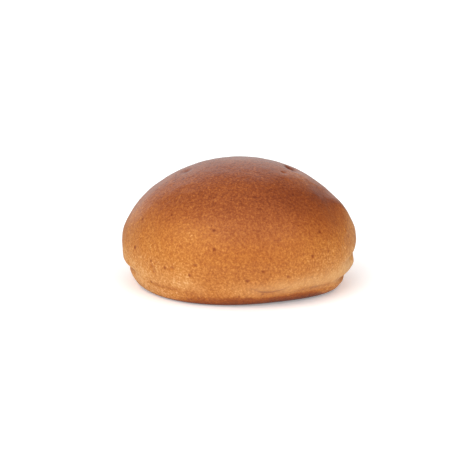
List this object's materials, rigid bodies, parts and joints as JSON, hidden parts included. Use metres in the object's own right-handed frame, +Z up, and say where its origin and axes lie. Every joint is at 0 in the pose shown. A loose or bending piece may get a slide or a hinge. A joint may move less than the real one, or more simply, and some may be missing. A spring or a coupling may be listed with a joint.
{
  "type": "bread roll",
  "caption": "Round soft bread roll with a browned glossy dome, a pale stretched belt low on its side, creased edges and a flat baked underside.",
  "frame": {"origin": "middle of the flat underside, on the surface that the roll rests on", "axes": "+Z up through the crown, -Y towards the side that the picture shows, +X along the widest side to side measure"},
  "size_m": [0.1, 0.098, 0.053],
  "materials": {
    "crust": "browned egg-washed bread crust, satin on the dome and matte low on the side"
  },
  "bodies": {
    "root": {"bread_roll": "crust"}
  },
  "joints": []
}
